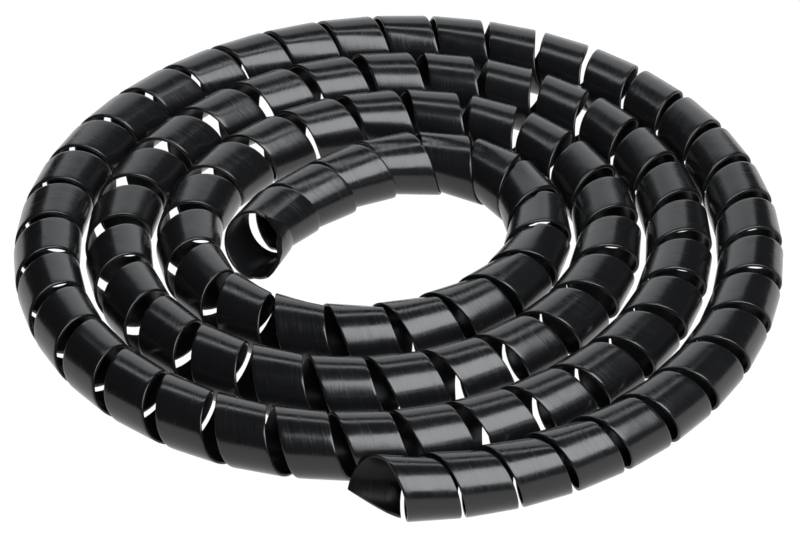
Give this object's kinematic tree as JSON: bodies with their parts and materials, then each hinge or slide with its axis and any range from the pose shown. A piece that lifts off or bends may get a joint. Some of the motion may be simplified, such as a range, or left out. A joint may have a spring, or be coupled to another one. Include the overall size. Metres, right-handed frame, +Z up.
{
  "type": "spiral cable wrap",
  "caption": "Spiral-cut plastic cable wrap: a wide helical band that forms a split tube, laid down as a loose, flat spiral coil.",
  "frame": {"origin": "middle of the coil's bounding box seen from above, on the floor that the coil lies on", "axes": "+Z up through the flat coil; -Y towards the side where the outer end lies, whose mouth faces -X"},
  "size_m": [0.3154, 0.3346, 0.027],
  "materials": {
    "wrap": "black, glossy, with fine ripples across the band"
  },
  "bodies": {
    "root": {"spiral_wrap": "wrap"}
  },
  "joints": []
}
